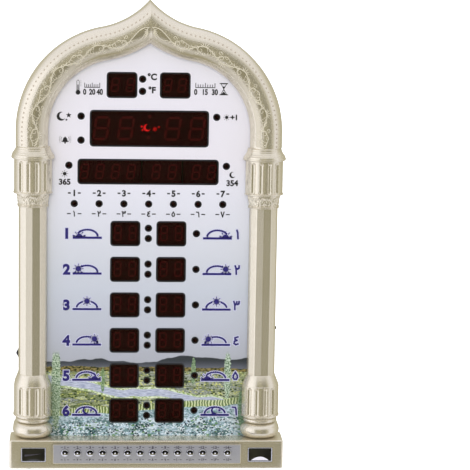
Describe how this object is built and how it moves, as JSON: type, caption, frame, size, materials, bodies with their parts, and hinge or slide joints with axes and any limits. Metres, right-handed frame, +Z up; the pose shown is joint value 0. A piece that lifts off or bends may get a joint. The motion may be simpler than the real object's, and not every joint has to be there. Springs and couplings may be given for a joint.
{
  "type": "prayer time wall and desk clock",
  "caption": "Arched digital clock on a plinth: two columns, a pointed arch, a clear printed panel with dark display windows, and a row of push buttons.",
  "frame": {"origin": "on the standing surface, in the middle of the plinth", "axes": "+X to the viewer's right, +Y to the rear (the front faces -Y), +Z up to the point of the arch"},
  "size_m": [0.2228, 0.0314, 0.3801],
  "materials": {
    "bead_black": "epoxy bead",
    "board_green": "circuit board",
    "bright_plating": "bright plating",
    "case_plastic": "plain moulded plastic, fine texture",
    "champagne_paint": "moulded plastic with satin champagne metallic paint",
    "clear_acrylic": "clear glossy acrylic",
    "component_black": "electronic parts",
    "display_black": "black display module",
    "knob_black": "moulded black plastic",
    "led_red": "tinted lamp",
    "plate_silver": "satin silver plate",
    "printed_sheet": "pale printed sheet",
    "red_filter": "dark red tinted film",
    "ribbon_grey": "flat cable",
    "rubber": "matt rubber",
    "speaker_grey": "paper cone in a steel basket",
    "steel": "plated steel",
    "window_black": "gloss black, infrared window"
  },
  "bodies": {
    "housing": {"arch_frame": "champagne_paint", "base_bottom_plate": "case_plastic", "base_plinth": "champagne_paint", "battery_holder": "component_black", "board_components": "component_black", "board_screws": "steel", "button_board": "board_green", "button_label_plate": "plate_silver", "case_screws": "steel", "clock_display": "display_black", "coin_cell": "steel", "countdown_display": "display_black", "day_display": "display_black", "dc_jack": "component_black", "front_lens": "clear_acrylic", "indicator_leds": "led_red", "ir_receiver": "component_black", "left_column": "champagne_paint", "left_window": "window_black", "left_window_bezel": "bright_plating", "light_sensor": "component_black", "main_board": "board_green", "month_display": "display_black", "prayer_1_display": "display_black", "prayer_2_display": "display_black", "prayer_3_display": "display_black", "prayer_4_display": "display_black", "prayer_5_display": "display_black", "prayer_6_display": "display_black", "printed_panel": "printed_sheet", "rear_cover": "case_plastic", "red_filter": "red_filter", "ribbon_cable": "ribbon_grey", "right_column": "champagne_paint", "right_window": "window_black", "right_window_bezel": "bright_plating", "rubber_feet": "rubber", "slide_switch": "component_black", "speaker": "speaker_grey", "tact_switches": "component_black", "temperature_display": "display_black", "temperature_sensor": "bead_black", "year_display": "display_black"},
    "button_01": {"button_01": "bright_plating"},
    "button_02": {"button_02": "bright_plating"},
    "button_03": {"button_03": "bright_plating"},
    "button_04": {"button_04": "bright_plating"},
    "button_05": {"button_05": "bright_plating"},
    "button_06": {"button_06": "bright_plating"},
    "button_07": {"button_07": "bright_plating"},
    "button_08": {"button_08": "bright_plating"},
    "button_09": {"button_09": "bright_plating"},
    "button_10": {"button_10": "bright_plating"},
    "button_11": {"button_11": "bright_plating"},
    "button_12": {"button_12": "bright_plating"},
    "button_13": {"button_13": "bright_plating"},
    "button_14": {"button_14": "bright_plating"},
    "switch_knob": {"slide_switch_knob": "knob_black"}
  },
  "joints": [
    {"name": "button_01_press", "type": "slide", "parent": "housing", "child": "button_01", "axis": [0, 1, 0], "range_m": [0, 0.0005], "stiffness_N_per_m": 1200, "springref_m": -0.0004},
    {"name": "button_02_press", "type": "slide", "parent": "housing", "child": "button_02", "axis": [0, 1, 0], "range_m": [0, 0.0005], "stiffness_N_per_m": 1200, "springref_m": -0.0004},
    {"name": "button_03_press", "type": "slide", "parent": "housing", "child": "button_03", "axis": [0, 1, 0], "range_m": [0, 0.0005], "stiffness_N_per_m": 1200, "springref_m": -0.0004},
    {"name": "button_04_press", "type": "slide", "parent": "housing", "child": "button_04", "axis": [0, 1, 0], "range_m": [0, 0.0005], "stiffness_N_per_m": 1200, "springref_m": -0.0004},
    {"name": "button_05_press", "type": "slide", "parent": "housing", "child": "button_05", "axis": [0, 1, 0], "range_m": [0, 0.0005], "stiffness_N_per_m": 1200, "springref_m": -0.0004},
    {"name": "button_06_press", "type": "slide", "parent": "housing", "child": "button_06", "axis": [0, 1, 0], "range_m": [0, 0.0005], "stiffness_N_per_m": 1200, "springref_m": -0.0004},
    {"name": "button_07_press", "type": "slide", "parent": "housing", "child": "button_07", "axis": [0, 1, 0], "range_m": [0, 0.0005], "stiffness_N_per_m": 1200, "springref_m": -0.0004},
    {"name": "button_08_press", "type": "slide", "parent": "housing", "child": "button_08", "axis": [0, 1, 0], "range_m": [0, 0.0005], "stiffness_N_per_m": 1200, "springref_m": -0.0004},
    {"name": "button_09_press", "type": "slide", "parent": "housing", "child": "button_09", "axis": [0, 1, 0], "range_m": [0, 0.0005], "stiffness_N_per_m": 1200, "springref_m": -0.0004},
    {"name": "button_10_press", "type": "slide", "parent": "housing", "child": "button_10", "axis": [0, 1, 0], "range_m": [0, 0.0005], "stiffness_N_per_m": 1200, "springref_m": -0.0004},
    {"name": "button_11_press", "type": "slide", "parent": "housing", "child": "button_11", "axis": [0, 1, 0], "range_m": [0, 0.0005], "stiffness_N_per_m": 1200, "springref_m": -0.0004},
    {"name": "button_12_press", "type": "slide", "parent": "housing", "child": "button_12", "axis": [0, 1, 0], "range_m": [0, 0.0005], "stiffness_N_per_m": 1200, "springref_m": -0.0004},
    {"name": "button_13_press", "type": "slide", "parent": "housing", "child": "button_13", "axis": [0, 1, 0], "range_m": [0, 0.0005], "stiffness_N_per_m": 1200, "springref_m": -0.0004},
    {"name": "button_14_press", "type": "slide", "parent": "housing", "child": "button_14", "axis": [0, 1, 0], "range_m": [0, 0.0005], "stiffness_N_per_m": 1200, "springref_m": -0.0004},
    {"name": "slide_switch_throw", "type": "slide", "parent": "housing", "child": "switch_knob", "axis": [0, 0, 1], "range_m": [-0.002, 0]}
  ]
}
